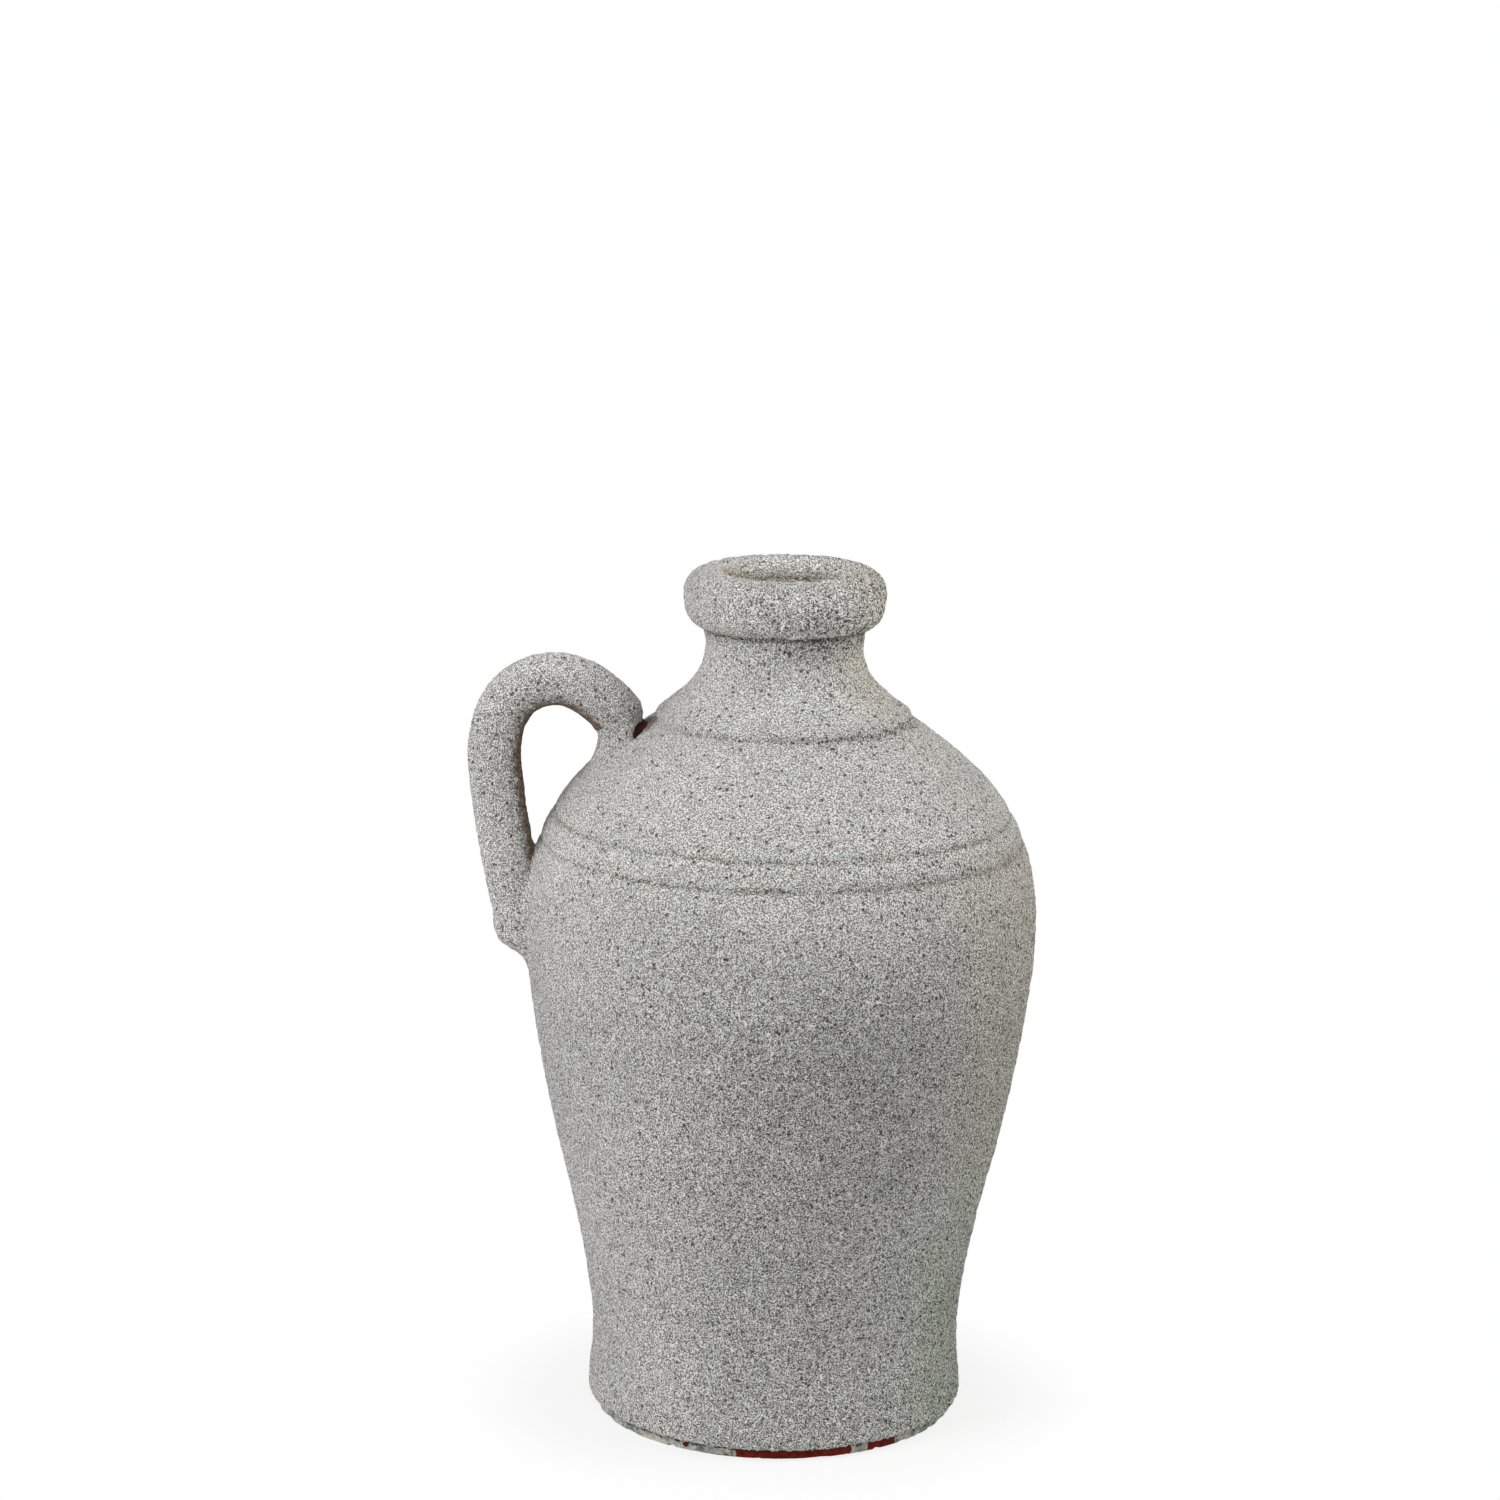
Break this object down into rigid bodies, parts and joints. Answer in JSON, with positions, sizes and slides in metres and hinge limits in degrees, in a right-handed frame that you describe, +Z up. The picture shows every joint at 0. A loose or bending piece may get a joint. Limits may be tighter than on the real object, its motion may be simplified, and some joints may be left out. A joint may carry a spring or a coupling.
{
  "type": "lekythos jug",
  "caption": "One-handled ceramic jug with a narrow foot, swelling body, domed shoulder, slim neck, rolled lip and a gritty grey coat.",
  "frame": {"origin": "middle of the flat face that the jug stands on", "axes": "+Z up along the body's axis of revolution, -X towards the handle, which lies in the XZ plane"},
  "size_m": [0.1986, 0.1784, 0.3],
  "materials": {
    "clay": "unglazed terracotta with a pale slip round the foot",
    "grit": "matt sandy grit coat, grains of about 1.5 mm"
  },
  "bodies": {
    "root": {"foot_slab": "clay", "belly_wall": "clay", "shoulder_dome": "clay", "neck_collar": "clay", "lip_roll": "clay", "handle_roll": "clay", "handle_root_wad": "clay", "handle_tail_wad": "clay", "belly_coat": "grit", "shoulder_coat": "grit", "neck_coat": "grit", "lip_coat": "grit", "handle_coat": "grit", "root_coat": "grit", "tail_coat": "grit"}
  },
  "joints": []
}
